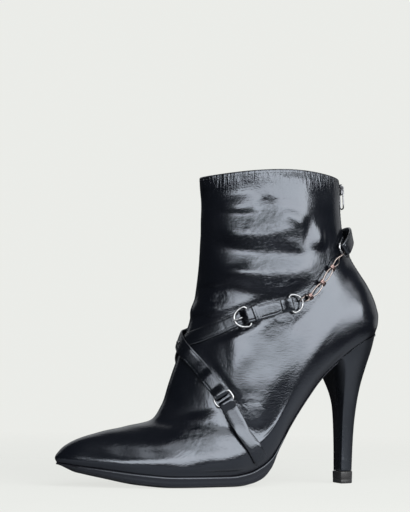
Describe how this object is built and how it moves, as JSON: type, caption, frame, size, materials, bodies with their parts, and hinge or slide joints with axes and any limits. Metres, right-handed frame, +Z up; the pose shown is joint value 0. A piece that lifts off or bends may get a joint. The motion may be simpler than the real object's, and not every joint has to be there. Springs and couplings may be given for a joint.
{
  "type": "stiletto ankle boot",
  "caption": "Left pointed-toe leather ankle boot on a tall stiletto heel, with a hollow upper, crossing buckled straps, metal rings, a chain and a back zip with a hinged pull.",
  "frame": {"origin": "middle of the boot's length and width, on the floor plane under the heel tip and the tread", "axes": "+X towards the toe, +Y towards the outer side, +Z up"},
  "size_m": [0.2368, 0.0761, 0.2186],
  "materials": {
    "black_leather": "glossy",
    "strap_leather": "glossy",
    "lining_leather": "matt",
    "sole_leather": "satin",
    "tip_rubber": "matt",
    "silver_metal": "polished"
  },
  "bodies": {
    "boot": {"upper": "black_leather", "insole": "lining_leather", "outsole": "sole_leather", "heel": "black_leather", "heel_tip": "tip_rubber", "ankle_strap": "strap_leather", "buckle_strap": "strap_leather", "instep_strap": "strap_leather", "rear_strap": "strap_leather", "sole_tab": "strap_leather", "upper_ring": "silver_metal", "rear_ring": "silver_metal", "lower_ring": "silver_metal", "buckle_frame": "silver_metal", "buckle_prong": "silver_metal", "strap_keeper": "strap_leather", "cross_rivet": "silver_metal", "chain_link_1": "silver_metal", "chain_link_2": "silver_metal", "chain_link_3": "silver_metal", "chain_link_4": "silver_metal", "chain_wrap_1": "silver_metal", "chain_wrap_2": "silver_metal", "chain_wrap_3": "silver_metal", "zip_chain": "silver_metal", "zip_slider": "silver_metal"},
    "pull": {"zip_pull": "silver_metal"}
  },
  "joints": [
    {"name": "zip_pull_hinge", "type": "hinge", "parent": "boot", "child": "pull", "pos_m": [-0.09102, -0.00118, 0.21076], "axis": [0, 1, 0], "range_deg": [0, 170]}
  ]
}
